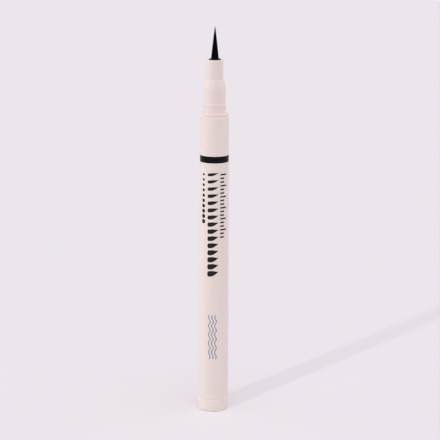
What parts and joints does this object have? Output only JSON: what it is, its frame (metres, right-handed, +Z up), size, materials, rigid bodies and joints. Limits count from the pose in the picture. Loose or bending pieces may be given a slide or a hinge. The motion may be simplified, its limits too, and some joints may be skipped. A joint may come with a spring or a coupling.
{
  "type": "liquid eyeliner pen",
  "caption": "Slim tapered free-ink eyeliner pen with a fine bristle brush, a stepped cap seat, a dark band ring and a closed tail; the ink tank inside holds a loose mixing ball.",
  "frame": {"origin": "centre of the foot's flat face at the tail, on the surface that the pen stands on", "axes": "+Z up the pen to the brush's point; the pen is round about Z; -Y is the side that the picture shows"},
  "size_m": [0.0102, 0.0102, 0.1314],
  "materials": {
    "blush_plastic": "satin injection-moulded polypropylene",
    "black_plastic": "smooth moulded",
    "bristle": "drawn-out synthetic bristle, wet with black ink",
    "natural_plastic": "uncoloured moulded polypropylene",
    "grey_plastic": "fine moulded",
    "fibre": "bonded fibre, soaked with ink",
    "seal_rubber": "moulded",
    "ball_steel": "ground and polished"
  },
  "bodies": {
    "pen": {"barrel": "blush_plastic", "band_ring": "black_plastic", "front_section": "blush_plastic", "brush_holder": "black_plastic", "brush_tuft": "bristle", "fixing_tube": "natural_plastic", "feed_rod": "fibre", "collector": "grey_plastic", "middle_plug": "natural_plastic", "tank_seal_ring": "seal_rubber", "ink_tank": "natural_plastic", "tail_plug": "blush_plastic", "tail_seal_ring": "seal_rubber"},
    "ball": {"mixing_ball": "ball_steel"}
  },
  "joints": [
    {"name": "ball_slide", "type": "slide", "parent": "pen", "child": "ball", "axis": [0, 0, 1], "range_m": [0, 0.052]}
  ]
}
